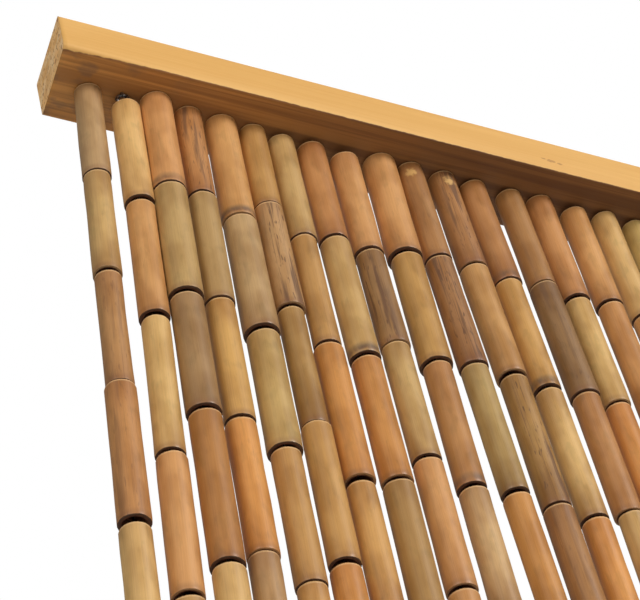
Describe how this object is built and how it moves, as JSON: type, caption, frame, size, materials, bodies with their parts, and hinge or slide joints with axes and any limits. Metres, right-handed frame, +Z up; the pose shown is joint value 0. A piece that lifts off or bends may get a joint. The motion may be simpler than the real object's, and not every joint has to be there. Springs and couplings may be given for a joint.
{
  "type": "bamboo door curtain with its wooden headrail",
  "caption": "Doorway curtain of bamboo tubes strung end to end in strands, which hang side by side from a wooden headrail.",
  "frame": {"origin": "middle of the headrail's top face, the face that is fixed under a door frame", "axes": "+X along the headrail, -Y the front of the curtain, +Z up"},
  "size_m": [0.9049, 0.032, 2.0083],
  "materials": {
    "rail_wood": "honey varnish, satin",
    "bamboo": "natural mixed browns, satin",
    "eye_wire": "dull zinc"
  },
  "bodies": {
    "root": {"headrail": "rail_wood", "strands_01": "bamboo", "strands_02": "bamboo", "strands_03": "bamboo", "strands_04": "bamboo", "strands_05": "bamboo", "strands_06": "bamboo", "strands_07": "bamboo", "strands_08": "bamboo"}
  },
  "joints": []
}
